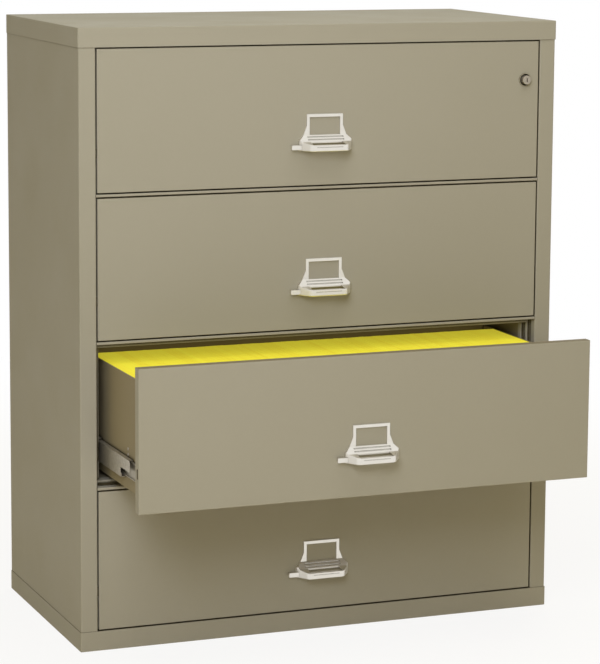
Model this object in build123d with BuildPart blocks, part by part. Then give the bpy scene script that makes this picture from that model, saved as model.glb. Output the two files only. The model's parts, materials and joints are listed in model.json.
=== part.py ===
from build123d import *
import os

# Fireproof lateral file cabinet with four drawers, in millimetres.
# The origin is on the floor, in the middle of the footprint. The drawers open towards -Y.

# Overall size, over the top cap
width = 1111.25
depth = 561.975
height = 1339.85

# Steel shell and insulated walls
sheet = 1.5
cap_height = 41.85
base_height = 42.8
post_face = 37.6
side_wall = 53.6
back_wall = 70.0
post_bend = 2 * sheet
bend_allowance = 0.1
rail_bend = sheet + bend_allowance
pan_edge = 1.2

# How far a cut runs past the metal it cuts
overrun = 1.0

# Front opening: thin rails at the face, then steps inwards
drawers = 4
front_gap = 3.0
rail_face = 6.0
rail_height = 27.0
first_step = 25.0
second_step = 39.0
frame_depth = 52.0
middle_jamb = 8.0

# Drawer front and insulated head
front_depth = 22.0
front_edge = 1.2
head_step = 14.0
head_gap = 2.5
head_depth = 50.0

# Drawer tray
tray_sheet = 1.2
tray_lift = 12.0
tray_top_gap = 32.8
tray_hem = 12.0
slide_space = 13.5
stop_length = 10.0
stop_radius = 9.0
stop_inset = 120.0
stop_height = 150.0
stop_gap = 0.3

# Three-part telescopic slides; widths are measured outwards from the tray's side
slide_centre = 67.0
slide_sheet = 1.4
slide_start = 53.5
slide_gap = 0.3
ball_space = 3.1
middle_member_height = 45.0
cabinet_member_height = middle_member_height + 2 * (slide_sheet + ball_space)
drawer_member_height = middle_member_height - 2 * (slide_sheet + ball_space)
cabinet_member_web = slide_space - slide_sheet
middle_member_web = cabinet_member_web - slide_gap - slide_sheet
drawer_member_web = 0.0
cabinet_member_reach = 3.0
middle_member_reach = 2.2
drawer_member_reach = 5.5
slide_corner = 9.0
access_width = 13.0
access_inset = 58.0
access_drop = 8.6

# Pull with its label frame, measured from the drawer face
pull_rise = 3.0
label_width = 84.0
label_height = 45.0
label_border = 6.5
label_depth = 3.2
pull_width = 122.0
pull_height = 79.0
pull_reach = 35.0
lip_width = 84.0
lip_depth = 11.0
lip_height = 14.0
pull_corner = 12.0
pull_edge = 2.5
gusset_share = 0.55
gusset_flare = 8.0
shoulder_cut = 11.0
lip_groove_drop = 4.5
lip_groove_radius = 0.7
shoulder_reach = 14.0
shoulder_height = 14.0
cheek_side = 8.0
cheek_wall = 4.5
groove_radius = 1.6
groove_places = (0.3, 0.7)

# Thumb latch and its bar
tab_reach = 19.0
tab_height = 10.0
tab_depth = 7.0
tab_stand_off = 6.0
tab_rise = 3.0
tab_round = 1.75
latch_travel = 6.0
latch_gap = 0.5
lug_width = 10.0
lug_inset = 13.0
bar_height = 20.0
bar_thickness = 3.0
bar_inset = 6.0
bolt_reach = 1.7

# Lock
lock_side = 32.5
lock_drop = 85.5
bezel_radius = 15.0
bezel_rim = 1.5
bezel_cup = 13.0
bezel_cup_depth = 8.0
bezel_wall = 1.5
sleeve_radius = 12.5
sleeve_end = 34.0
plunger_radius = 10.0
plunger_gap = 0.06
plunger_out = 11.3
plunger_end = 30.0
plunger_chamfer = 0.8
plug_radius = 6.5
plug_gap = 0.05
plug_end = 15.0
keyway_width = 2.2
keyway_height = 8.5
keyway_depth = 12.0
lock_bar_width = 24.0
lock_bar_thickness = 4.0
lock_bar_setback = 5.0
lock_bar_lift = 9.9
lock_bar_end = 60.0
lock_bar_gap = 0.4
bar_slot_length = 48.0
bar_slot_width = 8.0

# How far the third drawer stands open, and its middle slide members with it
open_drawer_number = 3
open_travel = 275.0
open_middle_travel = 223.0

# Folders in the open drawer
folder_packs = 18
folder_gap = 0.6
folder_side_gap = 0.8
folder_end_gap = 3.0
folder_length = 368.0

# Places worked out from the sizes
shell_half = width / 2 - sheet
front_y = -depth / 2 + sheet
back_y = depth / 2 - sheet
opening_half = shell_half - post_face
jamb_half = opening_half - middle_jamb
cavity_half = shell_half - side_wall
cavity_back = back_y - back_wall
cap_bottom = height - cap_height
front_half = opening_half - front_gap
fronts_height = cap_bottom - base_height - (drawers - 1) * rail_face - 2 * drawers * front_gap
front_height = fronts_height / drawers
pitch = front_height + 2 * front_gap + rail_face
cavity_inset = rail_height / 2 - rail_face / 2 - front_gap
tray_half = cavity_half - slide_space
tray_bottom = cavity_inset + tray_lift
tray_height = front_height - 2 * cavity_inset - tray_lift - tray_top_gap
tray_back = cavity_back - stop_length - stop_gap
tray_length = tray_back - front_y - head_depth
slide_length = tray_back - front_y - slide_start
head_inset = cavity_inset + head_gap
head_half = jamb_half - head_gap
head_back_half = cavity_half - head_gap
pull_top = front_height / 2 + pull_rise
tab_bottom = pull_top - pull_height + tab_rise


def front_bottom(number):
    """Height of a drawer front's lower edge; drawer 1 is the top one."""
    return base_height + front_gap + (drawers - number) * pitch


def travel(number):
    """How far a drawer stands open at rest."""
    return open_travel if number == open_drawer_number else 0.0


def middle_travel(number):
    """How far a drawer's middle slide members stand out at rest."""
    return open_middle_travel if number == open_drawer_number else 0.0


os.makedirs("parts", exist_ok=True)


def save(piece, name):
    """Labels a finished sub-part and writes its file."""
    piece.part.label = name
    export_step(piece.part, f"parts/{name}.step")


def block(x_range, y_range, z_range, mode=Mode.ADD):
    """A box between two places along each axis, in the part being built."""
    sizes = [high - low for low, high in (x_range, y_range, z_range)]
    middle = [(low + high) / 2 for low, high in (x_range, y_range, z_range)]
    with Locations(tuple(middle)):
        Box(*sizes, mode=mode)


def spread(half):
    """The range from minus half to half."""
    return (-half, half)


# Steel shell


def cover_pan(low, high, open_low, cut_low, cut_high):
    """A shallow pan over the shell's outline: the cap or the base."""
    with BuildPart() as pan:
        with BuildSketch(Plane.XY.offset(low)):
            RectangleRounded(width, depth, post_bend)
        extrude(amount=high - low)
        fillet(pan.faces().sort_by(Axis.Z)[-1 if open_low else 0].edges(), radius=pan_edge)
        block(spread(shell_half), (front_y, back_y), (cut_low, cut_high), Mode.SUBTRACT)
    return pan


def side_panel(hand):
    """Side, front post and stepped jamb, folded from one sheet. hand is 1 for right, -1 for left."""
    jamb = [
        (hand * shell_half, back_y),
        (hand * shell_half, front_y),
        (hand * opening_half, front_y),
        (hand * opening_half, front_y + first_step),
        (hand * jamb_half, front_y + first_step),
        (hand * jamb_half, front_y + second_step),
        (hand * cavity_half, front_y + second_step),
        (hand * cavity_half, front_y + frame_depth),
    ]
    with BuildPart() as panel:
        with BuildSketch(Plane.XY.offset(sheet)):
            with BuildLine():
                FilletPolyline(*jamb, radius=post_bend)
                offset(amount=sheet, side=Side.RIGHT if hand > 0 else Side.LEFT)
            make_face()
        extrude(amount=height - 2 * sheet)
    return panel


def back_panel():
    """Flat back between the side panels."""
    with BuildPart() as panel:
        block(spread(shell_half - sheet), (back_y - sheet, back_y), (sheet, height - sheet))
    return panel


def rail(points, side):
    """A stepped rail across the front opening, folded from points in the YZ plane."""
    with BuildPart() as piece:
        with BuildSketch(Plane.YZ):
            with BuildLine():
                FilletPolyline(*points, radius=rail_bend)
                offset(amount=sheet, side=side)
            make_face()
        extrude(amount=opening_half, both=True)
        for hand in (-1, 1):
            outer = sorted((hand * jamb_half, hand * shell_half))
            inner = sorted((hand * cavity_half, hand * shell_half))
            bend_1 = front_y + first_step - post_bend
            bend_2 = front_y + second_step - post_bend
            block(outer, (bend_1, cavity_back), (0, height), Mode.SUBTRACT)
            block(inner, (bend_2, cavity_back), (0, height), Mode.SUBTRACT)
    return piece


def drawer_rail(centre):
    """Rail between two drawers: a thin nose at the face, full height behind it."""
    nose, full = rail_face / 2, rail_height / 2
    points = [
        (front_y + frame_depth, centre - full),
        (front_y + first_step, centre - full),
        (front_y + first_step, centre - nose),
        (front_y, centre - nose),
        (front_y, centre + nose),
        (front_y + first_step, centre + nose),
        (front_y + first_step, centre + full),
        (front_y + frame_depth, centre + full),
    ]
    return rail(points, Side.RIGHT)


def end_rail(shell_end, face_edge, inwards):
    """Header or sill: behind the cap or base at the face, then stepped to the cavity."""
    cavity_edge = face_edge + inwards * (cavity_inset + front_gap)
    points = [
        (front_y, shell_end),
        (front_y, face_edge),
        (front_y + first_step, face_edge),
        (front_y + first_step, cavity_edge),
        (front_y + frame_depth, cavity_edge),
    ]
    return rail(points, Side.LEFT if inwards < 0 else Side.RIGHT)


def front_rails():
    """The header, the sill and the rails between drawers, by name."""
    rails = {
        "header_rail": end_rail(height - sheet, cap_bottom, -1),
        "sill_rail": end_rail(sheet, base_height, 1),
    }
    for number in range(1, drawers):
        centre = front_bottom(number) - front_gap - rail_face / 2
        rails[f"drawer_rail_{number}"] = drawer_rail(centre)
    return rails


def cavity_floor(number):
    """Height of a cavity's floor."""
    return front_bottom(number) + cavity_inset


def cavity_ceiling(number):
    """Height of a cavity's ceiling."""
    return front_bottom(number) + front_height - cavity_inset


def liner(number):
    """Open-fronted steel box of one cavity."""
    low, high = cavity_floor(number), cavity_ceiling(number)
    mouth = front_y + frame_depth
    with BuildPart() as box:
        block(spread(cavity_half + sheet), (mouth, cavity_back + sheet), (low - sheet, high + sheet))
        block(spread(cavity_half), (mouth, cavity_back), (low, high), Mode.SUBTRACT)
    return box


def insulation():
    """Cast gypsum between the shell and the liners, in one piece."""
    inner = shell_half - sheet
    bar_x, bar_y = lock_bar_place()
    with BuildPart() as fill:
        block(spread(inner), (front_y + sheet, back_y - sheet), (sheet, height - sheet))
        block(
            spread(opening_half + sheet),
            (front_y, front_y + first_step + sheet),
            (base_height - sheet, cap_bottom + sheet),
            Mode.SUBTRACT,
        )
        for number in range(1, drawers + 1):
            levels = (cavity_floor(number) - sheet, cavity_ceiling(number) + sheet)
            steps = (front_y, front_y + second_step + sheet)
            block(spread(jamb_half + sheet), steps, levels, Mode.SUBTRACT)
            deep = (front_y, cavity_back + sheet)
            block(spread(cavity_half + sheet), deep, levels, Mode.SUBTRACT)
        block(
            (bar_x - lock_bar_gap, bar_x + lock_bar_width + lock_bar_gap),
            (front_y, bar_y + lock_bar_thickness + lock_bar_gap),
            (lock_bar_end - lock_bar_gap, height - lock_bar_end + lock_bar_lift + lock_bar_gap),
            Mode.SUBTRACT,
        )
        for panel in (side_panel(-1), side_panel(1), *front_rails().values()):
            add(panel.part, mode=Mode.SUBTRACT)
    return fill


def stops():
    """Rubber stops on the back of each cavity, two to a drawer."""
    with BuildPart() as group:
        for number in range(1, drawers + 1):
            with BuildSketch(Plane.XZ.offset(-cavity_back)):
                level = front_bottom(number) + stop_height
                with Locations(*[(x, level) for x in spread(tray_half - stop_inset)]):
                    Circle(stop_radius)
            extrude(amount=stop_length)
    return group


# Slides


def channel(web, tip, level, member_height, y_range, hand):
    """One C-shaped slide member: web and tip are measured outwards from the tray's side."""
    inner_height = member_height - 2 * slide_sheet
    faces = sorted((web, web + slide_sheet))
    reach = sorted((tip, faces[0] if tip < web else faces[1]))
    sides = [hand * (tray_half + place) for place in (min(tip, *faces), max(tip, *faces))]
    hollow = [hand * (tray_half + place) for place in reach]
    if tip < web:
        hollow[0] = hand * (tray_half + tip - overrun)
    else:
        hollow[1] = hand * (tray_half + tip + overrun)
    block(sorted(sides), y_range, (level - member_height / 2, level + member_height / 2))
    block(
        sorted(hollow),
        (y_range[0] - overrun, y_range[1] + overrun),
        (level - inner_height / 2, level + inner_height / 2),
        Mode.SUBTRACT,
    )


def slide_members(number, web, tip, member_height, out):
    """Adds the same member of a drawer's left and right slide to the part being built."""
    level = front_bottom(number) + slide_centre
    start = front_y + slide_start - out
    for hand in (-1, 1):
        channel(web, tip, level, member_height, (start, start + slide_length), hand)


def plain_slides(number, web, tip, member_height, out):
    """Cabinet or drawer members of a drawer's two slides."""
    with BuildPart() as pair:
        slide_members(number, web, tip, member_height, out)
    return pair


def middle_slides(number):
    """Middle members: round front corner, access hole, and cut away below in front of the hole."""
    level = front_bottom(number) + slide_centre
    out = middle_travel(number)
    start = front_y + slide_start - out
    with BuildPart() as pair:
        slide_members(number, middle_member_web, middle_member_reach, middle_member_height, out)
        for hand in (-1, 1):
            lips = (hand * tray_half, hand * (tray_half + middle_member_web))
            tall = (level - middle_member_height, level + middle_member_height)
            block(sorted(lips), (start, start + slide_corner), tall, Mode.SUBTRACT)
        fillet(pair.edges().filter_by(Axis.X).group_by(Axis.Y)[0], radius=slide_corner)
        with BuildSketch(Plane.YZ):
            with Locations((start + access_inset, level - access_drop)):
                Circle(access_width / 2)
        extrude(amount=shell_half, both=True, mode=Mode.SUBTRACT)
        block(
            spread(shell_half),
            (start - overrun, start + access_inset),
            (level - middle_member_height, level - access_drop + access_width / 2),
            Mode.SUBTRACT,
        )
    return pair


# Drawers


def drawer_front(number):
    """Steel pan of the drawer face, with its folded edge and the openings for latch and lock."""
    face = front_y - travel(number)
    bottom = front_bottom(number)
    with BuildPart() as pan:
        with BuildSketch(Plane.XZ.offset(-face - front_depth)):
            with Locations((0, bottom + front_height / 2)):
                Rectangle(2 * front_half, front_height)
        extrude(amount=front_depth)
        fillet(pan.faces().sort_by(Axis.Y)[0].edges(), radius=front_edge)
        block(
            spread(front_half - sheet),
            (face + sheet, face + front_depth),
            (bottom + sheet, bottom + front_height - sheet),
            Mode.SUBTRACT,
        )
        slot_low, slot_high = lug_range()
        block(
            (slot_low - latch_gap, slot_high + latch_travel + latch_gap),
            (face, face + sheet),
            (bottom + tab_bottom - latch_gap, bottom + tab_bottom + tab_height + latch_gap),
            Mode.SUBTRACT,
        )
        low, high = bar_levels()
        bar_y = face + bar_inset
        block(
            (-front_half, -front_half + sheet),
            (bar_y - latch_gap, bar_y + bar_thickness + latch_gap),
            (bottom + low - latch_gap, bottom + high + latch_gap),
            Mode.SUBTRACT,
        )
        if number == 1:
            lock_x, lock_z = lock_place()
            with BuildSketch(Plane.XZ.offset(-face)):
                with Locations((lock_x, lock_z)):
                    Circle(bezel_cup + bezel_wall)
            extrude(amount=-sheet, mode=Mode.SUBTRACT)
    return pan


def head_levels(number):
    """Lower and upper edge of the stepped part of a drawer head."""
    bottom = front_bottom(number)
    return bottom + head_inset, bottom + front_height - head_inset


def head_pan(number):
    """Steel pan that closes the drawer head behind, in two steps."""
    face = front_y - travel(number)
    bottom = front_bottom(number)
    low, high = head_levels(number)
    step_y = face + front_depth + head_step
    back = face + head_depth
    with BuildPart() as pan:
        rim = (bottom + sheet, bottom + front_height - sheet)
        block(spread(front_half - sheet), (face + front_depth - sheet, face + front_depth), rim)
        block(spread(head_half), (face + front_depth, step_y), (low, high))
        block(spread(head_back_half), (step_y, back), (low, high))
        inner = (low + sheet, high - sheet)
        block(spread(head_half - sheet), (face, step_y - sheet), inner, Mode.SUBTRACT)
        block(spread(head_back_half - sheet), (face, back - sheet), inner, Mode.SUBTRACT)
    return pan


def head_fill(number):
    """Gypsum slab of a drawer head, with room for the latch bar and the lock."""
    face = front_y - travel(number)
    bottom = front_bottom(number)
    low, high = head_levels(number)
    inner = (low + sheet, high - sheet)
    step_y = face + front_depth + head_step - sheet
    with BuildPart() as fill:
        slab = (bottom + sheet, bottom + front_height - sheet)
        block(spread(front_half - sheet), (face + sheet, face + front_depth - sheet), slab)
        block(spread(head_half - sheet), (face + front_depth - sheet, step_y), inner)
        block(spread(head_back_half - sheet), (step_y, face + head_depth - sheet), inner)
        bar_low, bar_high = bar_levels()
        slot_end = lug_range()[1] + latch_travel + latch_gap
        block(
            (-front_half, slot_end),
            (face, face + bar_inset + bar_thickness + latch_gap),
            (bottom + bar_low - latch_gap, bottom + bar_high + latch_gap),
            Mode.SUBTRACT,
        )
        if number == 1:
            lock_x, lock_z = lock_place()
            with BuildSketch(Plane.XZ.offset(-face)):
                with Locations((lock_x, lock_z)):
                    Circle(bezel_cup + bezel_wall)
            extrude(amount=-(head_depth - sheet), mode=Mode.SUBTRACT)
    return fill


def tray(number):
    """Open steel tray with a doubled hem along its top edges."""
    start = front_y + head_depth - travel(number)
    end = start + tray_length
    low = front_bottom(number) + tray_bottom
    high = low + tray_height
    with BuildPart() as box:
        block(spread(tray_half), (start, end), (low, high))
        block(
            spread(tray_half - tray_sheet),
            (start, end - tray_sheet),
            (low + tray_sheet, high - tray_hem),
            Mode.SUBTRACT,
        )
        block(
            spread(tray_half - 2 * tray_sheet),
            (start, end - 2 * tray_sheet),
            (high - tray_hem, high),
            Mode.SUBTRACT,
        )
    return box


def folders(number):
    """Packs of hanging folders that fill a drawer from side to side."""
    low = front_bottom(number) + tray_bottom + tray_sheet
    high = front_bottom(number) + tray_bottom + tray_height
    start = front_y + head_depth - travel(number)
    y_range = (start + folder_end_gap, start + folder_end_gap + folder_length)
    half = tray_half - 2 * tray_sheet - folder_side_gap
    step = 2 * half / folder_packs
    with BuildPart() as packs:
        for index in range(folder_packs):
            left = -half + index * step
            block((left + folder_gap / 2, left + step - folder_gap / 2), y_range, (low, high))
    return packs


# Pull


def pull(number):
    """Cast pull: label frame above, ribbed shoulder, finger slot and front lip."""
    face = front_y - travel(number)
    top = front_bottom(number) + pull_top
    bottom = top - pull_height
    shoulder_top = top - label_height
    shoulder_bottom = shoulder_top - shoulder_height
    lip_top = bottom + lip_height
    half, lip_half, label_half = pull_width / 2, lip_width / 2, label_width / 2
    with BuildPart() as casting:
        with BuildSketch(Plane.XY.offset(bottom)):
            with BuildLine():
                Polyline(
                    (-half, face),
                    (-half, face - cheek_side),
                    (-lip_half, face - pull_reach),
                    (lip_half, face - pull_reach),
                    (half, face - cheek_side),
                    (half, face),
                    close=True,
                )
            make_face()
        extrude(amount=pull_height - label_height)
        fillet(casting.edges().filter_by(Axis.Z).sort_by(Axis.Y)[:2], radius=pull_corner)
        with BuildSketch(Plane.YZ):
            with BuildLine():
                Polyline(
                    (face - pull_reach - overrun, lip_top),
                    (face - shoulder_reach, shoulder_bottom),
                    (face - label_depth, shoulder_top),
                    (face - pull_reach - overrun, shoulder_top),
                    close=True,
                )
            make_face()
        extrude(amount=half, both=True, mode=Mode.SUBTRACT)
        # The two sloping faces are neither upright nor level
        slopes = casting.faces().filter_by(lambda side: 0.1 < side.normal_at().Z < 0.99)
        underside = casting.faces().sort_by(Axis.Z)[0]
        rims = ShapeList([*slopes.edges(), *underside.edges()])
        crease_y = face - shoulder_reach - overrun
        outer = rims.filter_by(
            lambda rim: abs(rim.center().X) > lip_half or rim.center().Y < crease_y
        )
        fillet(outer, radius=pull_edge)
        for hand in (-1, 1):
            with BuildSketch(Plane.XZ.offset(-face)):
                with BuildLine():
                    Polyline(
                        (hand * (half - shoulder_cut), shoulder_top),
                        (hand * half, shoulder_top),
                        (hand * half, shoulder_top - shoulder_cut),
                        close=True,
                    )
                make_face()
            extrude(amount=pull_reach, mode=Mode.SUBTRACT)
        finger_back = face - pull_reach + lip_depth
        with BuildSketch(Plane.XY.offset(bottom)):
            with BuildLine():
                Polyline(
                    (-half + cheek_wall, face),
                    (-half + cheek_wall, face - cheek_side),
                    (-lip_half + cheek_wall, finger_back),
                    (lip_half - cheek_wall, finger_back),
                    (half - cheek_wall, face - cheek_side),
                    (half - cheek_wall, face),
                    close=True,
                )
            make_face()
        extrude(amount=shoulder_bottom - label_depth - bottom, mode=Mode.SUBTRACT)
        block(
            spread(lip_half - cheek_wall),
            (face - pull_reach - overrun, face - shoulder_reach),
            (lip_top, shoulder_top),
            Mode.SUBTRACT,
        )
        for share in groove_places:
            rib_y = face - label_depth - share * (shoulder_reach - label_depth)
            rib_z = shoulder_top - share * shoulder_height
            with BuildSketch(Plane.YZ):
                with Locations((rib_y, rib_z)):
                    Circle(groove_radius)
            extrude(amount=lip_half, both=True, mode=Mode.SUBTRACT)
        with BuildSketch(Plane.YZ):
            with Locations((face - pull_reach, lip_top - lip_groove_drop)):
                Circle(lip_groove_radius)
        extrude(amount=lip_half - pull_corner, both=True, mode=Mode.SUBTRACT)
        gusset_top = top - gusset_share * label_height
        with BuildSketch(Plane.XZ.offset(-face)):
            with BuildLine():
                Polyline(
                    (-label_half, top),
                    (-label_half, gusset_top),
                    (-label_half - gusset_flare, shoulder_top),
                    (-label_half - gusset_flare, shoulder_top - label_border),
                    (label_half + gusset_flare, shoulder_top - label_border),
                    (label_half + gusset_flare, shoulder_top),
                    (label_half, gusset_top),
                    (label_half, top),
                    close=True,
                )
            make_face()
        extrude(amount=label_depth)
        block(
            spread(label_half - label_border),
            (face - label_depth, face),
            (shoulder_top, top - label_border),
            Mode.SUBTRACT,
        )
        tab_low = bottom + tab_rise - latch_gap
        block(
            (-half, -lip_half + cheek_wall),
            (face - tab_stand_off - tab_depth - latch_gap, face - tab_stand_off + latch_gap),
            (tab_low, tab_low + tab_height + 2 * latch_gap),
            Mode.SUBTRACT,
        )
    return casting


# Thumb latch


def lug_range():
    """Left and right side of the lug that joins the thumb tab to its bar."""
    right = -pull_width / 2 + cheek_wall + lug_inset + lug_width
    return right - lug_width, right


def bar_levels():
    """Lower and upper edge of the latch bar above the front's lower edge."""
    middle = tab_bottom + tab_height / 2
    return middle - bar_height / 2, middle + bar_height / 2


def thumb_latch(number):
    """Thumb tab, lug and latch bar, which slide sideways as one."""
    face = front_y - travel(number)
    bottom = front_bottom(number)
    low, high = bar_levels()
    lug_low, lug_high = lug_range()
    tab_levels = (bottom + tab_bottom, bottom + tab_bottom + tab_height)
    with BuildPart() as latch:
        block(
            (-pull_width / 2 - tab_reach, lug_high),
            (face - tab_stand_off - tab_depth, face - tab_stand_off),
            tab_levels,
        )
        end_edges = latch.faces().sort_by(Axis.X)[0].edges()
        fillet(end_edges, radius=tab_round)
        lug_y = (face - tab_stand_off - overrun, face + bar_inset + overrun)
        block((lug_low, lug_high), lug_y, tab_levels)
        block(
            (-front_half - bolt_reach, lug_high),
            (face + bar_inset, face + bar_inset + bar_thickness),
            (bottom + low, bottom + high),
        )
    return latch


# Lock


def lock_place():
    """Side and height of the lock's axis."""
    top = front_bottom(1) + front_height
    return front_half - lock_side, top - lock_drop


def lock_bezel():
    """Round rim, recessed cup and guide sleeve, turned as one."""
    x, z = lock_place()
    face = front_y - travel(1)
    with BuildPart() as bezel:
        with BuildSketch(Plane.XZ.offset(-face)):
            with Locations((x, z)):
                Circle(bezel_radius)
        extrude(amount=bezel_rim)
        fillet(bezel.faces().sort_by(Axis.Y)[0].edges(), radius=bezel_rim / 2)
        with BuildSketch(Plane.XZ.offset(-face)):
            with Locations((x, z)):
                Circle(bezel_cup + bezel_wall)
        extrude(amount=-bezel_cup_depth)
        with BuildSketch(Plane.XZ.offset(-face - bezel_cup_depth)):
            with Locations((x, z)):
                Circle(sleeve_radius)
        extrude(amount=-(sleeve_end - bezel_cup_depth))
        with BuildSketch(Plane.XZ.offset(-face + bezel_rim)):
            with Locations((x, z)):
                Circle(bezel_cup)
        extrude(amount=-(bezel_rim + bezel_cup_depth - bezel_wall), mode=Mode.SUBTRACT)
        with BuildSketch(Plane.XZ.offset(-face)):
            with Locations((x, z)):
                Circle(plunger_radius + plunger_gap)
        extrude(amount=-sleeve_end, mode=Mode.SUBTRACT)
    return bezel


def lock_plunger():
    """Barrel that is pushed in to lock, popped out at rest."""
    x, z = lock_place()
    face = front_y - travel(1)
    with BuildPart() as plunger:
        with BuildSketch(Plane.XZ.offset(-face - plunger_end)):
            with Locations((x, z)):
                Circle(plunger_radius)
        extrude(amount=plunger_end + plunger_out)
        chamfer(plunger.faces().sort_by(Axis.Y)[0].edges(), length=plunger_chamfer)
        with BuildSketch(Plane.XZ.offset(-face + plunger_out)):
            with Locations((x, z)):
                Circle(plug_radius + plug_gap)
        extrude(amount=-(plug_end + plunger_out + plug_gap), mode=Mode.SUBTRACT)
    return plunger


def key_plug():
    """Round plug with a vertical keyway, which turns in the plunger."""
    x, z = lock_place()
    face = front_y - travel(1)
    with BuildPart() as plug:
        with BuildSketch(Plane.XZ.offset(-face - plug_end)):
            with Locations((x, z)):
                Circle(plug_radius)
        extrude(amount=plug_end + plunger_out)
        with BuildSketch(Plane.XZ.offset(-face + plunger_out)):
            with Locations((x, z)):
                Rectangle(keyway_width, keyway_height)
        extrude(amount=-keyway_depth, mode=Mode.SUBTRACT)
    return plug


def lock_bar_place():
    """Left side and front of the lock bar in the right post."""
    middle = (opening_half + sheet + shell_half - sheet) / 2
    return middle - lock_bar_width / 2, front_y + lock_bar_setback


def lock_bar():
    """Flat bar in the right post, which rises when the plunger is pushed in."""
    x, y = lock_bar_place()
    with BuildPart() as bar:
        block(
            (x, x + lock_bar_width),
            (y, y + lock_bar_thickness),
            (lock_bar_end, height - lock_bar_end),
        )
        with BuildSketch(Plane.XZ.offset(-y)):
            for number in range(1, drawers + 1):
                with Locations((x + lock_bar_width / 2, front_bottom(number) + front_height / 2)):
                    SlotOverall(bar_slot_length, bar_slot_width, rotation=90)
        extrude(amount=-lock_bar_thickness, mode=Mode.SUBTRACT)
    return bar


save(cover_pan(cap_bottom, height, True, cap_bottom, height - sheet), "top_cap")
save(cover_pan(0, base_height, False, sheet, base_height), "base_pan")
save(side_panel(-1), "side_panel_left")
save(side_panel(1), "side_panel_right")
save(back_panel(), "back_panel")
for rail_name, rail_piece in front_rails().items():
    save(rail_piece, rail_name)
save(insulation(), "insulation_fill")
save(stops(), "drawer_stops")
save(lock_bar(), "lock_bar")

for number in range(1, drawers + 1):
    save(liner(number), f"liner_{number}")
    cabinet_side = plain_slides(
        number, cabinet_member_web, cabinet_member_reach, cabinet_member_height, 0
    )
    save(cabinet_side, f"slide_cabinet_{number}")
    save(middle_slides(number), f"slide_middle_{number}")
    drawer_side = plain_slides(
        number, drawer_member_web, drawer_member_reach, drawer_member_height, travel(number)
    )
    save(drawer_side, f"slide_drawer_{number}")
    save(drawer_front(number), f"drawer_front_{number}")
    save(head_pan(number), f"head_pan_{number}")
    save(head_fill(number), f"head_fill_{number}")
    save(tray(number), f"drawer_tray_{number}")
    save(pull(number), f"pull_{number}")
    save(thumb_latch(number), f"thumb_latch_{number}")

save(lock_bezel(), "lock_bezel")
save(lock_plunger(), "lock_plunger")
save(key_plug(), "key_plug")
save(folders(open_drawer_number), "folders")
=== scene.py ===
import json
import math
import random

import bmesh
import bpy
from mathutils import Matrix, Vector


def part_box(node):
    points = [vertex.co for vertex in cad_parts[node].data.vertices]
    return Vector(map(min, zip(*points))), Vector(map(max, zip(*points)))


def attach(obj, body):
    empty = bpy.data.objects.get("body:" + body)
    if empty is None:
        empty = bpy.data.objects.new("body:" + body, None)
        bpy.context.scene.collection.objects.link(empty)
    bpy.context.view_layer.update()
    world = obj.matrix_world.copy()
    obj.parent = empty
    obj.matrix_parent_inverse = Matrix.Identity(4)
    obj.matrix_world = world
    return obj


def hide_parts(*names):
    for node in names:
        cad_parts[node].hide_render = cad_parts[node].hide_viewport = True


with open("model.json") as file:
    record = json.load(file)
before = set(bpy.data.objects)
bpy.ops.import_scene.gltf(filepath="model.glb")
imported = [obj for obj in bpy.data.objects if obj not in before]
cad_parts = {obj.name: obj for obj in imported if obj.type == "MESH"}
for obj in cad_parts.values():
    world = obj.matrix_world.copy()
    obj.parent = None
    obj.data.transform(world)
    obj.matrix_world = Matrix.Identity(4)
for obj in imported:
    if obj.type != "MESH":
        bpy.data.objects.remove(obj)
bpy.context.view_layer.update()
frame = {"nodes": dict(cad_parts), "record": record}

NODES = frame["nodes"]
SCENE = bpy.context.scene

# Numbers of the drawers, top one first, and the one that stands open
DRAWERS = (1, 2, 3, 4)
OPEN_DRAWER = 3

# Front face of the cabinet's posts; lengths are in metres, unless a comment says otherwise
FRONT_Y = -0.27949

BLACK = (0.0, 0.0, 0.0, 1.0)
WHITE = (1.0, 1.0, 1.0, 1.0)


# Node trees


def srgb(*levels):
    """Linear colour with alpha from three 0-255 screen levels."""
    out = []
    for level in levels:
        share = level / 255
        out.append(share / 12.92 if share <= 0.04045 else ((share + 0.055) / 1.055) ** 2.4)
    return (*out, 1.0)


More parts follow.
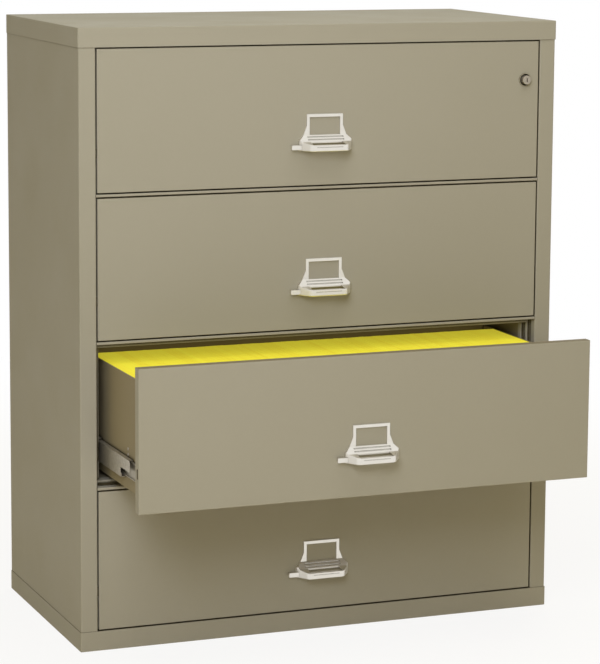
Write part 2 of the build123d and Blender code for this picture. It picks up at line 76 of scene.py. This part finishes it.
class Nodes:
    """The node tree of a material or world, with short calls for the nodes used here.

    Wherever a call takes a value, it may be a number, a colour or another node's socket.
    """

    def __init__(self, owner, output):
        owner.use_nodes = True
        self.tree = owner.node_tree
        self.tree.nodes.clear()
        self.output = self.add(output)

    def add(self, kind, **values):
        """Adds a node and fills its inputs by name; underscores stand for spaces."""
        node = self.tree.nodes.new(kind)
        for name, value in values.items():
            self.fill(node.inputs[name.replace("_", " ")], value)
        return node

    def fill(self, socket, value):
        if hasattr(value, "links"):
            self.tree.links.new(value, socket)
        else:
            socket.default_value = value

    def place(self):
        """The object's own coordinates."""
        return self.add("ShaderNodeTexCoord").outputs["Object"]

    def remap(self, source, span, to=(0.0, 1.0), smooth=False):
        """Carries a span of values over to another, held at its ends."""
        node = self.add("ShaderNodeMapRange")
        for socket, value in zip(node.inputs, (source, *span, *to)):
            self.fill(socket, value)
        if smooth:
            node.interpolation_type = "SMOOTHSTEP"
        return node.outputs[0]

    def math(self, operation, first, second=0.0):
        node = self.add("ShaderNodeMath")
        node.operation = operation
        self.fill(node.inputs[0], first)
        self.fill(node.inputs[1], second)
        return node.outputs[0]

    def mix(self, share, first, second):
        """Mixes two colours."""
        node = self.add("ShaderNodeMix")
        node.data_type = "RGBA"
        for index, value in ((0, share), (6, first), (7, second)):
            self.fill(node.inputs[index], value)
        return node.outputs[2]

    def show(self, share, first, second):
        """Sends a mix of two shaders to the output."""
        node = self.add("ShaderNodeMixShader")
        for socket, value in zip(node.inputs, (share, first.outputs[0], second.outputs[0])):
            self.fill(socket, value)
        self.fill(self.output.inputs[0], node.outputs[0])

    def seen_directly(self):
        """1 for rays from the camera, and for those seen in reflections or through glass."""
        path = self.add("ShaderNodeLightPath").outputs
        seen = self.math("MAXIMUM", path["Is Camera Ray"], path["Is Glossy Ray"])
        return self.math("MAXIMUM", seen, path["Is Transmission Ray"])


# Samples of the nodes that look round a surface for its neighbours and its edges
OPENNESS_SAMPLES, EDGE_SAMPLES = 12, 4

# Painted shade in recesses: how near another surface has to be, whether only the piece's own count,
# the openness over which the painted shade fades away, and its share where it is deepest
RECESS_SHADE = dict(reach=0.005, alone=True, openness=(0.35, 0.85), share=1.0)
GAP_SHADE = dict(reach=0.010, alone=False, openness=(0.5, 0.78), share=0.85)
CORNER_SHADE = dict(reach=0.010, alone=True, openness=(0.84, 0.95), share=0.9)


class Surface(Nodes):
    """A material built round one Principled shader."""

    def __init__(self, name):
        self.material = bpy.data.materials.new(name)
        super().__init__(self.material, "ShaderNodeOutputMaterial")
        self.shader = self.add("ShaderNodeBsdfPrincipled")
        self.fill(self.output.inputs[0], self.shader.outputs[0])

    def set(self, **values):
        """Fills the shader's inputs by name; underscores stand for spaces."""
        for name, value in values.items():
            self.fill(self.shader.inputs[name.replace("_", " ")], value)

    def stretched(self, scale):
        """The object's coordinates, scaled by axis."""
        return self.add("ShaderNodeMapping", Vector=self.place(), Scale=scale).outputs[0]

    def noise(self, scale, detail=2.0, rough=0.5, vector=None):
        node = self.add("ShaderNodeTexNoise", Scale=scale, Detail=detail, Roughness=rough)
        self.fill(node.inputs["Vector"], vector or self.place())
        return node.outputs["Fac"]

    def cells(self, scale):
        """A random colour for each cell."""
        return self.add("ShaderNodeTexVoronoi", Vector=self.place(), Scale=scale).outputs["Color"]

    def split(self, vector):
        """The three parts of a vector."""
        return self.add("ShaderNodeSeparateXYZ", Vector=vector).outputs

    def upward(self):
        """How far the surface faces up, from -1 to 1."""
        return self.split(self.add("ShaderNodeNewGeometry").outputs["Normal"])[2]

    def with_painted_shade(self, colour, dark, reach, alone, openness, share):
        """Painted shade: a colour mixed towards a dark one where surfaces stand close together."""
        node = self.add("ShaderNodeAmbientOcclusion", Distance=reach)
        node.samples = OPENNESS_SAMPLES
        node.only_local = alone
        return self.mix(self.remap(node.outputs["AO"], openness, (share, 0.0)), colour, dark)

    def bump(self, height, strength, distance, edge=0.0):
        """Bump on the surface, over edges rounded by the given radius."""
        node = self.add("ShaderNodeBump", Strength=strength, Distance=distance, Height=height)
        if edge:
            rounded = self.add("ShaderNodeBevel", Radius=edge)
            rounded.samples = EDGE_SAMPLES
            self.fill(node.inputs["Normal"], rounded.outputs[0])
        self.set(Normal=node.outputs[0])


# Finishes


# Span that most of a noise's values lie in
NOISE_SPAN = (0.3, 0.7)

# Enamel: share of its deeper tone, and share and relative brightness of the orange peel's crests
MOTTLE_SHARE = 0.5
PEEL_SHARE, PEEL_LIGHTER = 0.10, 1.10
# Dust, and the painted shade of upper faces: how far up a surface has to face for each to begin and
# to be full, where 1 is straight up, and its share there
DUST = srgb(200, 196, 184)
DUST_FACING, DUST_SHARE = (0.85, 1.0), 0.07
TOP_SHADE_FACING, TOP_SHADE_SHARE = (0.5, 0.9), 0.8


def paint(name, base, deep, roughness, edge=0.0008, gap=None, corner=None, upper=None):
    """Baked enamel on sheet steel: slight mottling, fine orange peel and a little dust on top.

    gap, where given, is painted shade deep in narrow gaps, corner painted shade in inner corners,
    and upper painted shade on faces and edges that face up.
    """
    m = Surface(name)
    mottling = m.remap(m.noise(scale=1.3, detail=3.0), NOISE_SPAN, (0.0, MOTTLE_SHARE))
    fine = m.noise(scale=160.0, detail=4.0, rough=0.6)
    peel = m.remap(fine, (0.25, 0.75), (0.0, PEEL_SHARE))
    dust = m.remap(m.upward(), DUST_FACING, (0.0, DUST_SHARE))
    lighter = tuple(min(1.0, level * PEEL_LIGHTER) for level in base[:3]) + (1.0,)
    colour = m.mix(mottling, base, deep)
    colour = m.mix(peel, colour, lighter)
    colour = m.mix(dust, colour, DUST)
    # Painted shade between parts and in inner corners
    if gap:
        colour = m.with_painted_shade(colour, gap, **GAP_SHADE)
    if corner:
        colour = m.with_painted_shade(colour, corner, **CORNER_SHADE)
    # Painted shade on faces that face up
    if upper:
        colour = m.mix(m.remap(m.upward(), TOP_SHADE_FACING, (0.0, TOP_SHADE_SHARE)), colour, upper)
    smear = m.noise(scale=7.0, detail=5.0, rough=0.65)
    gloss = m.remap(smear, NOISE_SPAN, (roughness - 0.05, roughness + 0.06))
    m.set(Base_Color=colour, Roughness=gloss, IOR=1.5, Specular_IOR_Level=0.08)
    m.bump(m.noise(scale=520.0), strength=0.10, distance=0.0002, edge=edge)
    return m.material


# Radius of rounded metal edges
METAL_EDGE = 0.0005
# Distance from a piece's middle over which its far ends turn darker
DARKER_END_START, DARKER_END_FULL = 0.12, 0.16


def metal(name, base, stain, roughness, grain, strength, metallic, shade_in_recesses=None, end_colour=None):
    """Plated or bare metal with drawn or polished grain, faint stain and uneven gloss.

    Where a recess colour is given, it is painted shade in its recesses; where an end colour is
    given, the piece turns to it towards its far ends.
    """
    m = Surface(name)
    blotch = m.remap(m.noise(scale=28.0, detail=4.0, rough=0.6), (0.35, 0.7), (0.0, 0.6))
    colour = m.mix(blotch, base, stain)
    # Painted shade in recesses
    if shade_in_recesses:
        colour = m.with_painted_shade(colour, shade_in_recesses, **RECESS_SHADE)
    # The far ends turn darker
    if end_colour:
        across = m.math("ABSOLUTE", m.split(m.place())[0])
        colour = m.mix(m.remap(across, (DARKER_END_START, DARKER_END_FULL)), colour, end_colour)
    streaks = m.noise(scale=1.0, detail=3.0, rough=0.6, vector=m.stretched(grain))
    gloss = m.remap(streaks, NOISE_SPAN, (roughness - 0.05, roughness + 0.08))
    m.set(Base_Color=colour, Roughness=gloss, Metallic=metallic)
    m.bump(streaks, strength=strength, distance=0.0001, edge=METAL_EDGE)
    return m.material


def zinc(name):
    """Zinc-plated steel with a faint spangle and drawn lines along the slide."""
    m = Surface(name)
    cell = m.add("ShaderNodeSeparateColor", Color=m.cells(scale=190.0)).outputs
    spangle = m.math("MULTIPLY", cell[0], 0.5)
    m.set(
        Base_Color=m.mix(spangle, srgb(186, 180, 166), srgb(158, 150, 134)),
        Roughness=m.remap(cell[1], (0.0, 1.0), (0.30, 0.46)),
        Metallic=0.7,
    )
    along = m.stretched((380.0, 9.0, 380.0))
    drawn = m.noise(scale=1.0, detail=3.0, rough=0.6, vector=along)
    m.bump(drawn, strength=0.08, distance=0.0001, edge=METAL_EDGE)
    return m.material


# Distance in front of the posts' face over which the bezel's rim gives way to its cup, painted near
# black as shade
RIM_END, CUP_START = 0.0013, 0.0009


def bezel_metal(name):
    """Lock bezel: its rim is enamelled like the drawer face; its recessed cup is painted shade,
    near black.
    """
    m = Surface(name)
    depth = m.split(m.place())[1]
    inside = m.remap(depth, (FRONT_Y - RIM_END, FRONT_Y - CUP_START))
    grain = m.remap(m.noise(scale=220.0, detail=4.0, rough=0.6), NOISE_SPAN)
    rim = m.mix(grain, srgb(160, 153, 133), srgb(150, 143, 122))
    # Painted shade: the cup's near-black colours stand in for the shade in the recess
    cup_shade = m.mix(grain, srgb(14, 12, 9), srgb(22, 18, 13))
    m.set(
        Base_Color=m.mix(inside, rim, cup_shade),
        Roughness=m.remap(grain, (0.0, 1.0), (0.42, 0.58)),
        Specular_IOR_Level=0.05,
    )
    m.bump(grain, strength=0.08, distance=0.0001, edge=0.0003)
    return m.material


def plain_rough(name, base, dark, scale, roughness, strength, depth):
    """Matt granular surface such as cast gypsum or rubber."""
    m = Surface(name)
    grain = m.noise(scale, detail=6.0, rough=0.7)
    m.set(
        Base_Color=m.mix(m.remap(grain, (0.35, 0.65)), base, dark),
        Roughness=m.remap(grain, NOISE_SPAN, (roughness - 0.08, roughness)),
    )
    m.bump(grain, strength, depth)
    return m.material


# Folder card with a painted glow: strength of its glow, which is painted light that keeps the card
# bright where it lies in shade, and the share of its colour that is left to scatter light
CARD_PAINTED_GLOW = 0.55
DIFFUSE_SHARE = 0.66
# What the card's bounced light turns towards, so that it doesn't dye the drawer yellow
CARD_BOUNCE = srgb(178, 168, 130)
BOUNCE_SHARE = 0.85


def card(name):
    """Yellow folder card with a painted glow: each folder has its own tone, with faint fibres."""
    m = Surface(name)
    tone = m.add("ShaderNodeAttribute")
    tone.attribute_name = "tone"
    along = m.stretched((900.0, 120.0, 500.0))
    fibres = m.noise(scale=1.0, detail=4.0, rough=0.65, vector=along)
    colour = m.mix(tone.outputs["Fac"], srgb(234, 223, 56), srgb(229, 213, 50))
    colour = m.mix(m.remap(fibres, (0.4, 0.7), (0.0, 0.25)), colour, srgb(234, 227, 112))
    bounced = m.add("ShaderNodeLightPath").outputs["Is Diffuse Ray"]
    colour = m.mix(m.math("MULTIPLY", bounced, BOUNCE_SHARE), colour, CARD_BOUNCE)
    # The emission is painted light, not a lamp
    m.set(
        Base_Color=m.mix(DIFFUSE_SHARE, BLACK, colour),
        Emission_Color=colour,
        Emission_Strength=CARD_PAINTED_GLOW,
        Roughness=m.remap(fibres, NOISE_SPAN, (0.62, 0.78)),
        Specular_IOR_Level=0.2,
    )
    m.bump(fibres, strength=0.15, distance=0.0001)
    return m.material


# The cabinet's enamel, the painted shade between its parts, and the castings' plating
ENAMEL = dict(base=srgb(166, 161, 146), deep=srgb(161, 156, 139), roughness=0.55)
FRAME_SHADE = srgb(58, 50, 26)
PLATING = dict(
    base=srgb(234, 230, 221),
    stain=srgb(225, 220, 210),
    roughness=0.40,
    grain=(40.0, 260.0, 260.0),
    strength=0.015,
    metallic=0.95,
)

# Finish of each slot in the record
MATERIALS = {
    # upper: painted shade that makes the cabinet's top faces darker than its front
    "paint": paint("enamel", **ENAMEL, upper=srgb(145, 140, 122)),
    # A darker copy of the cabinet's enamel: painted shade inside the cabinet
    "liner_paint": paint(
        "enamel_inside_painted_shade", base=srgb(140, 132, 108), deep=srgb(130, 122, 98), roughness=0.55
    ),
    "gypsum": plain_rough(
        "cast_gypsum",
        base=srgb(226, 221, 207),
        dark=srgb(204, 198, 182),
        scale=120.0,
        roughness=0.95,
        strength=0.5,
        depth=0.0008,
    ),
    # A darker, browner copy of the cabinet's enamel: painted shade on the drawers' trays
    "tray_paint": paint(
        "enamel_drawer_painted_shade",
        base=srgb(150, 139, 112),
        deep=srgb(138, 126, 100),
        roughness=0.5,
        # Painted shade where other parts stand close
        gap=srgb(50, 42, 28),
    ),
    "zinc": zinc("zinc_plate"),
    # The recess colour is painted shade in the castings' grooves and slot
    "bright_plate": metal("bright_casting", **PLATING, shade_in_recesses=srgb(96, 88, 70)),
    "lock_plate": metal(
        "lock_metal",
        base=srgb(172, 163, 148),
        stain=srgb(156, 147, 131),
        roughness=0.30,
        grain=(300.0, 60.0, 300.0),
        strength=0.02,
        metallic=0.6,
    ),
    "stop_rubber": plain_rough(
        "stop_rubber",
        base=srgb(34, 34, 34),
        dark=srgb(22, 22, 23),
        scale=400.0,
        roughness=0.75,
        strength=0.3,
        depth=0.0003,
    ),
    "folder_card": card("folder_card"),
}

# Finishes that some nodes have in place of their slot's
# gap and corner: painted shade between the frame's parts and in its inner corners
FRAME = paint("enamel_frame", **ENAMEL, gap=FRAME_SHADE, corner=FRAME_SHADE)
# upper: painted shade, dark brown, along the drawer fronts' top edges
FRONT = paint("enamel_front", **ENAMEL, edge=0.0004, upper=srgb(112, 101, 74))
# The latch bars turn darker towards their far ends
LATCH = metal("latch_metal", **PLATING, end_colour=srgb(112, 104, 84))
BEZEL = bezel_metal("lock_bezel_metal")

FRAME_NODES = (
    "side_panel_left",
    "side_panel_right",
    "header_rail",
    "sill_rail",
    "drawer_rail_1",
    "drawer_rail_2",
    "drawer_rail_3",
)


def dress_frame():
    """Gives each CAD node the finish of its slot, and some nodes one of their own."""
    for row in frame["record"]["subparts"]:
        node = NODES[row["node"]]
        node.data.materials.clear()
        node.data.materials.append(MATERIALS[row["material_slot"]])
    NODES["lock_bezel"].data.materials[0] = BEZEL
    for name in FRAME_NODES:
        NODES[name].data.materials[0] = FRAME
    for number in DRAWERS:
        NODES[f"drawer_front_{number}"].data.materials[0] = FRONT
        NODES[f"thumb_latch_{number}"].data.materials[0] = LATCH


# Pieces added to the frame


def add_piece(name, build, body, slot, smooth=False):
    """Turns a bmesh into a piece with outward faces and its slot's finish, riding on a body."""
    bmesh.ops.recalc_face_normals(build, faces=build.faces)
    mesh = bpy.data.meshes.new(name)
    build.to_mesh(mesh)
    build.free()
    for face in mesh.polygons:
        face.use_smooth = smooth
    mesh.materials.append(MATERIALS[slot])
    piece = bpy.data.objects.new(name, mesh)
    SCENE.collection.objects.link(piece)
    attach(piece, body)
    return piece


def bevelled_box(build, low, high, edge):
    """Adds a box between two corners with rounded edges."""
    size = [b - a for a, b in zip(low, high)]
    middle = [(a + b) / 2 for a, b in zip(low, high)]
    made = bmesh.ops.create_cube(build, size=1.0)
    bmesh.ops.scale(build, vec=size, verts=made["verts"])
    bmesh.ops.translate(build, vec=middle, verts=made["verts"])
    edges = list({rim for corner in made["verts"] for rim in corner.link_edges})
    bmesh.ops.bevel(build, geom=edges, offset=edge, segments=2, profile=0.5, affect="EDGES")


FOLDERS = 92
FOLDER_EDGE = 0.0004
FOLDER_GAP = 0.00005
# How far a folder's top and back edge may fall short
FOLDER_UNEVEN = 0.0005
FOLDER_SEED = 7
# The darkest tone, kept above 0, which marks faces that have none yet
LEAST_TONE = 0.001


def folder_stack():
    """The open drawer's folders, each a thin pack with rounded edges, its own height and tone."""
    low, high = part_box("folders")
    draw = random.Random(FOLDER_SEED)
    step = (high.x - low.x) / FOLDERS
    build = bmesh.new()
    tone = build.faces.layers.float.new("tone")
    for index in range(FOLDERS):
        left = low.x + index * step
        top = high.z - draw.uniform(0.0, FOLDER_UNEVEN)
        back = high.y - draw.uniform(0.0, FOLDER_UNEVEN)
        shade = draw.random()
        far = (left + step - FOLDER_GAP, back, top)
        bevelled_box(build, (left, low.y, low.z), far, FOLDER_EDGE)
        for face in build.faces:
            if face[tone] == 0.0:
                face[tone] = max(shade, LEAST_TONE)
    piece = add_piece("folder_stack", build, f"drawer_{OPEN_DRAWER}", "folder_card")
    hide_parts("folders")


# Corners of each ring of a screw's or rivet's head
HEAD_SEGMENTS = 24


def round_head(build, seat, turn, rings, radius, height):
    """Adds a closed head on a seat, turned by a matrix that takes z to its outward direction.

    Each ring has a share of the radius for every corner, and a share of the height.
    """
    corners = []
    for shares, level in rings:
        ring = []
        for index, share in enumerate(shares):
            angle = 2 * math.pi * index / HEAD_SEGMENTS
            x, y = share * radius * math.cos(angle), share * radius * math.sin(angle)
            ring.append(build.verts.new(Vector(seat) + turn @ Vector((x, y, level * height))))
        corners.append(ring)
    for lower, upper in zip(corners, corners[1:]):
        for index in range(HEAD_SEGMENTS):
            after = (index + 1) % HEAD_SEGMENTS
            build.faces.new((lower[index], lower[after], upper[after], upper[index]))
    build.faces.new(corners[-1])
    build.faces.new(list(reversed(corners[0])))


def tray_sides(number):
    """For each side of a drawer's tray, its outward direction along x and its place."""
    low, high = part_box(f"drawer_tray_{number}")
    return (-1, low.x), (1, high.x)


# Pan head from its seat to the rim of its cross recess, as shares of its radius and its height
SCREW_PROFILE = ((1.0, 0.0), (1.0, 0.35), (0.93, 0.68), (0.78, 0.92), (0.62, 1.0))
# The cross: shares of the radius at its arms and between them, and the floor's size and level
CROSS_ARM, CROSS_WAIST = 0.52, 0.17
CROSS_FLOOR_SIZE, CROSS_FLOOR_LEVEL = 0.8, 0.35

# Radius and height of each kind of head
SLIDE_SCREW = (0.0042, 0.0022)
HEAD_SCREW = (0.0036, 0.0020)


def screws(name, number, off, places, size, slot):
    """Cross-headed screws on both sides of a drawer's tray, at places along and up.

    off is the thickness of what lies between the tray and the heads.
    """
    cross = [CROSS_WAIST] * HEAD_SEGMENTS
    cross[:: HEAD_SEGMENTS // 4] = [CROSS_ARM] * 4
    rings = [([share] * HEAD_SEGMENTS, level) for share, level in SCREW_PROFILE]
    rings.append((cross, 1.0))
    rings.append(([share * CROSS_FLOOR_SIZE for share in cross], CROSS_FLOOR_LEVEL))
    build = bmesh.new()
    for hand, side in tray_sides(number):
        turn = Vector((hand, 0, 0)).to_track_quat("Z", "Y").to_matrix()
        for along, up in places:
            round_head(build, (side + hand * off, along, up), turn, rings, *size)
    add_piece(f"{name}_{number}", build, f"drawer_{number}", slot)


SLIDE_SHEET = 0.0014
# Distance of each screw behind the slide's front end
SLIDE_SCREW_PLACES = (0.014, 0.036)
# Distance of each screw behind the drawer's face and above its lower edge
HEAD_SCREW_PLACES = ((0.150, 0.094), (0.150, 0.106), (0.062, 0.225))


def slide_screws(number):
    """Screws that hold the drawer members of the slides to the tray, near their front ends."""
    low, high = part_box(f"slide_drawer_{number}")
    places = [(low.y + behind, (low.z + high.z) / 2) for behind in SLIDE_SCREW_PLACES]
    screws("slide_screws", number, SLIDE_SHEET, places, SLIDE_SCREW, "zinc")


def head_screws(number):
    """Small screws through the tray's sides near the drawer head, above the slide."""
    low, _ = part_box(f"drawer_front_{number}")
    places = [(low.y + behind, low.z + above) for behind, above in HEAD_SCREW_PLACES]
    screws("head_screws", number, 0.0, places, HEAD_SCREW, "lock_plate")


BALL_RADIUS = 0.00145
BALLS = 8
CAGE_START, CAGE_LENGTH = 0.062, 0.080
CAGE_THICKNESS = 0.0007
# Width of each race, measured outwards from the tray's side, and its height from the slide's middle
INNER_RACE, INNER_LEVEL = (0.0024, 0.0053), 0.01955
OUTER_RACE, OUTER_LEVEL = (0.0037, 0.0111), 0.02405


def ball_cages(kind, member, number, race, race_level, body):
    """Caged balls above and below a slide member's inner neighbour, near the member's front end."""
    low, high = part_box(f"{member}_{number}")
    start = low.y + CAGE_START
    build = bmesh.new()
    for hand, side in tray_sides(number):
        near, far = sorted((side + hand * race[0], side + hand * race[1]))
        for up in (-1, 1):
            level = (low.z + high.z) / 2 + up * race_level
            bevelled_box(
                build,
                (near, start, level - CAGE_THICKNESS / 2),
                (far, start + CAGE_LENGTH, level + CAGE_THICKNESS / 2),
                CAGE_THICKNESS / 4,
            )
            for index in range(BALLS):
                ball_y = start + (index + 0.5) * CAGE_LENGTH / BALLS
                place = Matrix.Translation(((near + far) / 2, ball_y, level))
                bmesh.ops.create_icosphere(build, subdivisions=2, radius=BALL_RADIUS, matrix=place)
    add_piece(f"{kind}_{number}", build, body, "zinc", smooth=True)


RIVET = (0.0045, 0.0012)
# Domed head from its seat to its flat middle, as shares of its radius and its height
RIVET_PROFILE = ((1.0, 0.0), (1.0, 0.25), (0.9, 0.62), (0.66, 0.88), (0.33, 0.98))
RIVET_INSET = 0.012
RIVET_ROWS, RIVET_END = 8, 0.075
# Swaps y and z, which takes an upright head to one that faces the back
FACING_BACK = Matrix(((1, 0, 0), (0, 0, 1), (0, 1, 0)))


def back_rivets():
    """Painted rivets down both sides of the back panel."""
    low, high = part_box("back_panel")
    rings = [([share] * HEAD_SEGMENTS, level) for share, level in RIVET_PROFILE]
    gap = (high.z - low.z - 2 * RIVET_END) / (RIVET_ROWS - 1)
    build = bmesh.new()
    for side in (low.x + RIVET_INSET, high.x - RIVET_INSET):
        for row in range(RIVET_ROWS):
            seat = (side, high.y, low.z + RIVET_END + row * gap)
            round_head(build, seat, FACING_BACK, rings, *RIVET)
    add_piece("back_rivets", build, "cabinet", "paint")


def add_pieces():
    """Adds every piece that the frame lacks."""
    folder_stack()
    back_rivets()
    for number in DRAWERS:
        slide_screws(number)
        head_screws(number)
        middle = f"middle_{number}"
        ball_cages("inner_balls", "slide_middle", number, INNER_RACE, INNER_LEVEL, middle)
        ball_cages("outer_balls", "slide_cabinet", number, OUTER_RACE, OUTER_LEVEL, "cabinet")


# Stage, light and camera


FLOOR_HALF = 14.0
FLOOR_COLOUR = (0.93, 0.87, 0.72, 1.0)
# The floor glows white to the camera; near the object a share of it is lit, so that shadows show
FLOOR_LIT_SHARE = 0.12
FLOOR_LIT_NEAR, FLOOR_LIT_FAR = 1.2, 3.2


def make_floor():
    """Pale floor that is white in the picture, except where the object shades it."""
    mesh = bpy.data.meshes.new("floor")
    half = FLOOR_HALF
    corners = [(-half, -half, 0), (half, -half, 0), (half, half, 0), (-half, half, 0)]
    mesh.from_pydata(corners, [], [(0, 1, 2, 3)])
    floor = bpy.data.objects.new("floor", mesh)
    SCENE.collection.objects.link(floor)
    material = bpy.data.materials.new("pale_floor")
    mesh.materials.append(material)
    m = Nodes(material, "ShaderNodeOutputMaterial")
    distance = m.add("ShaderNodeVectorMath")
    distance.operation = "LENGTH"
    m.fill(distance.inputs[0], m.place())
    reach = (FLOOR_LIT_NEAR, FLOOR_LIT_FAR)
    white = m.remap(distance.outputs["Value"], reach, (1.0 - FLOOR_LIT_SHARE, 1.0), smooth=True)
    lit = m.add("ShaderNodeBsdfDiffuse", Color=FLOOR_COLOUR)
    glow = m.add("ShaderNodeEmission", Color=WHITE, Strength=1.0)
    m.show(m.math("MULTIPLY", m.seen_directly(), white), lit, glow)


AMBIENT_COLOUR = (1.0, 0.80, 0.24, 1.0)
AMBIENT = 0.22


def make_world():
    """White to the camera and in reflections, soft warm ambient for the rest."""
    world = bpy.data.worlds.new("studio")
    SCENE.world = world
    m = Nodes(world, "ShaderNodeOutputWorld")
    ambient = m.add("ShaderNodeBackground", Color=AMBIENT_COLOUR, Strength=AMBIENT)
    white = m.add("ShaderNodeBackground", Color=WHITE, Strength=1.0)
    m.show(m.seen_directly(), ambient, white)


# Square lamps: place, target, length of a side, power in watts and colour
LAMPS = {
    "key": ((-1.9, -3.3, 2.7), (0.0, -0.3, 0.7), 1.8, 73.0, (1.0, 1.04, 1.16)),
    "top": ((0.0, -0.9, 3.3), (0.0, -0.4, 0.6), 2.4, 40.0, (1.0, 1.0, 1.0)),
    "front": ((-1.3, -5.2, 1.25), (0.0, -0.3, 0.5), 2.0, 18.0, (1.0, 1.0, 1.0)),
    "back": ((2.6, 3.6, 2.4), (0.0, 0.0, 0.7), 2.4, 90.0, (1.0, 1.0, 1.0)),
}


def make_lamps():
    """Soft lamps, hidden from reflections so that plated metal doesn't clip to white."""
    for name, (place, target, size, power, colour) in LAMPS.items():
        data = bpy.data.lights.new(name, "AREA")
        data.shape = "SQUARE"
        data.size = size
        data.energy = power
        data.color = colour
        lamp = bpy.data.objects.new(name, data)
        SCENE.collection.objects.link(lamp)
        lamp.visible_glossy = False
        lamp.location = place
        aim = Vector(target) - Vector(place)
        lamp.rotation_euler = aim.to_track_quat("-Z", "Y").to_euler()


# Camera: angles in degrees; focal length and optical centre in pixels of a picture of this size
IMAGE_WIDTH, IMAGE_HEIGHT = 600, 664
CAMERA_PLACE = (-2.157, -5.600, 1.650)
CAMERA_YAW, CAMERA_PITCH, CAMERA_ROLL = 21.56, 8.21, 0.38
CAMERA_FOCAL = 2659
CAMERA_CENTRE = (300, 262)
CAMERA_CLIP = (0.05, 60.0)
# Millimetres, along the picture's longer side
SENSOR = 36.0


def make_camera():
    """The photograph's camera, from its fitted place, angles and focal length."""
    data = bpy.data.cameras.new("camera")
    data.sensor_fit = "AUTO"
    data.sensor_width = SENSOR
    data.lens = CAMERA_FOCAL * SENSOR / IMAGE_HEIGHT
    data.shift_x = (IMAGE_WIDTH / 2 - CAMERA_CENTRE[0]) / IMAGE_HEIGHT
    data.shift_y = (CAMERA_CENTRE[1] - IMAGE_HEIGHT / 2) / IMAGE_HEIGHT
    data.clip_start, data.clip_end = CAMERA_CLIP
    camera = bpy.data.objects.new("camera", data)
    SCENE.collection.objects.link(camera)
    yaw, pitch, roll = (math.radians(a) for a in (CAMERA_YAW, CAMERA_PITCH, CAMERA_ROLL))
    level = math.cos(pitch)
    forward = Vector((math.sin(yaw) * level, math.cos(yaw) * level, -math.sin(pitch)))
    right = Vector((math.cos(yaw), -math.sin(yaw), 0.0))
    up = right.cross(forward)
    right_rolled = right * math.cos(roll) + up * math.sin(roll)
    up_rolled = up * math.cos(roll) - right * math.sin(roll)
    turn = Matrix((right_rolled, up_rolled, -forward)).transposed()
    camera.matrix_world = Matrix.Translation(CAMERA_PLACE) @ turn.to_4x4()
    SCENE.camera = camera


dress_frame()
add_pieces()
make_floor()
make_world()
make_lamps()
make_camera()
SCENE.view_settings.view_transform = "Standard"
